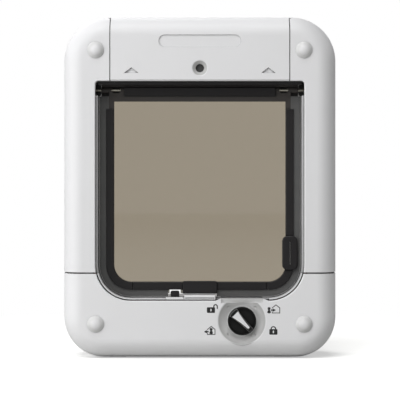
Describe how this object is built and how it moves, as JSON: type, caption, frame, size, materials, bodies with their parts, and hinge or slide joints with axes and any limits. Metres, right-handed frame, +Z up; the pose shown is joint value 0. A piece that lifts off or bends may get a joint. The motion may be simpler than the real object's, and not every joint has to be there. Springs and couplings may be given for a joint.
{
  "type": "cat flap",
  "caption": "White cat flap for a door: rounded casing, smoked swinging flap in a telescoping tunnel, turn-dial lock, powered catch and a sliding battery cover.",
  "frame": {"origin": "centre of the casing outline and of the fixing holes, on the plane of the door's inner face", "axes": "+X to the right seen from the room, +Y through the door to the outside, +Z up"},
  "size_m": [0.2, 0.0706, 0.2507],
  "materials": {
    "white_casing": "satin white moulding",
    "dark_frame": "dark grey moulding",
    "soft_seal": "soft dark grey wiper",
    "black_strip": "black moulding",
    "black_knob": "black, lightly polished",
    "smoked_pane": "clear smoke-tinted sheet",
    "steel": "bright drawn",
    "magnet": "sintered",
    "acetal": "natural moulding",
    "button_grey": "dark grey",
    "cell_label": "plain wrapped sleeve",
    "board": "green lacquered board",
    "chip": "black",
    "copper": "enamelled copper",
    "solenoid_case": "plated"
  },
  "bodies": {
    "frame": {"base_frame": "white_casing", "upper_casing": "white_casing", "lower_cover": "white_casing", "screw_cap_top_left": "white_casing", "screw_cap_top_right": "white_casing", "screw_cap_bottom_left": "white_casing", "screw_cap_bottom_right": "white_casing", "draught_strip": "black_strip", "magnet_holder": "white_casing", "sill_magnet": "magnet", "catch_guide": "white_casing", "solenoid": "solenoid_case", "battery_tray": "acetal", "battery_1": "cell_label", "battery_2": "cell_label", "battery_3": "cell_label", "battery_4": "cell_label", "battery_contacts": "steel", "circuit_board": "board", "reader_chip": "chip", "learn_switch": "chip", "aerial_coil": "copper", "hinge_bearing_left": "black_strip", "hinge_bearing_right": "black_strip"},
    "flap": {"flap_frame": "dark_frame", "flap_pane": "smoked_pane", "hinge_pin_left": "steel", "hinge_pin_right": "steel", "edge_seal_left": "soft_seal", "edge_seal_right": "soft_seal", "left_strip": "black_strip", "right_strip": "black_strip", "right_corner_strip": "black_strip", "bottom_left_strip": "black_strip", "bottom_right_strip": "black_strip", "top_strip": "black_strip", "magnet_block": "black_strip", "flap_magnet": "magnet", "sensor_pod": "black_strip", "strike_plate": "steel"},
    "lock": {"lock_knob": "black_knob", "knob_pointer": "white_casing", "lock_cam": "acetal"},
    "catch": {"catch": "black_strip", "catch_plunger": "steel"},
    "battery_cover": {"battery_cover": "white_casing"},
    "memory_button": {"memory_button": "button_grey"},
    "outer_frame": {"outer_frame": "white_casing", "tunnel_liner": "white_casing"}
  },
  "joints": [
    {"name": "flap_swing", "type": "hinge", "parent": "frame", "child": "flap", "pos_m": [0, -0.013, 0.0714], "axis": [1, 0, 0], "range_deg": [-85, 85]},
    {"name": "lock_turn", "type": "hinge", "parent": "frame", "child": "lock", "pos_m": [0.0307, -0.0255, -0.0976], "axis": [0, 1, 0], "continuous": true},
    {"name": "catch_lift", "type": "slide", "parent": "frame", "child": "catch", "axis": [0, 0, 1], "range_m": [0, 0.0045]},
    {"name": "battery_cover_slide", "type": "slide", "parent": "frame", "child": "battery_cover", "axis": [0, 0, 1], "range_m": [0, 0.05]},
    {"name": "memory_button_press", "type": "slide", "parent": "frame", "child": "memory_button", "axis": [0, 1, 0], "range_m": [0, 0.0012], "stiffness_N_per_m": 300},
    {"name": "door_thickness", "type": "slide", "parent": "frame", "child": "outer_frame", "axis": [0, 1, 0], "range_m": [0, 0.02]}
  ]
}
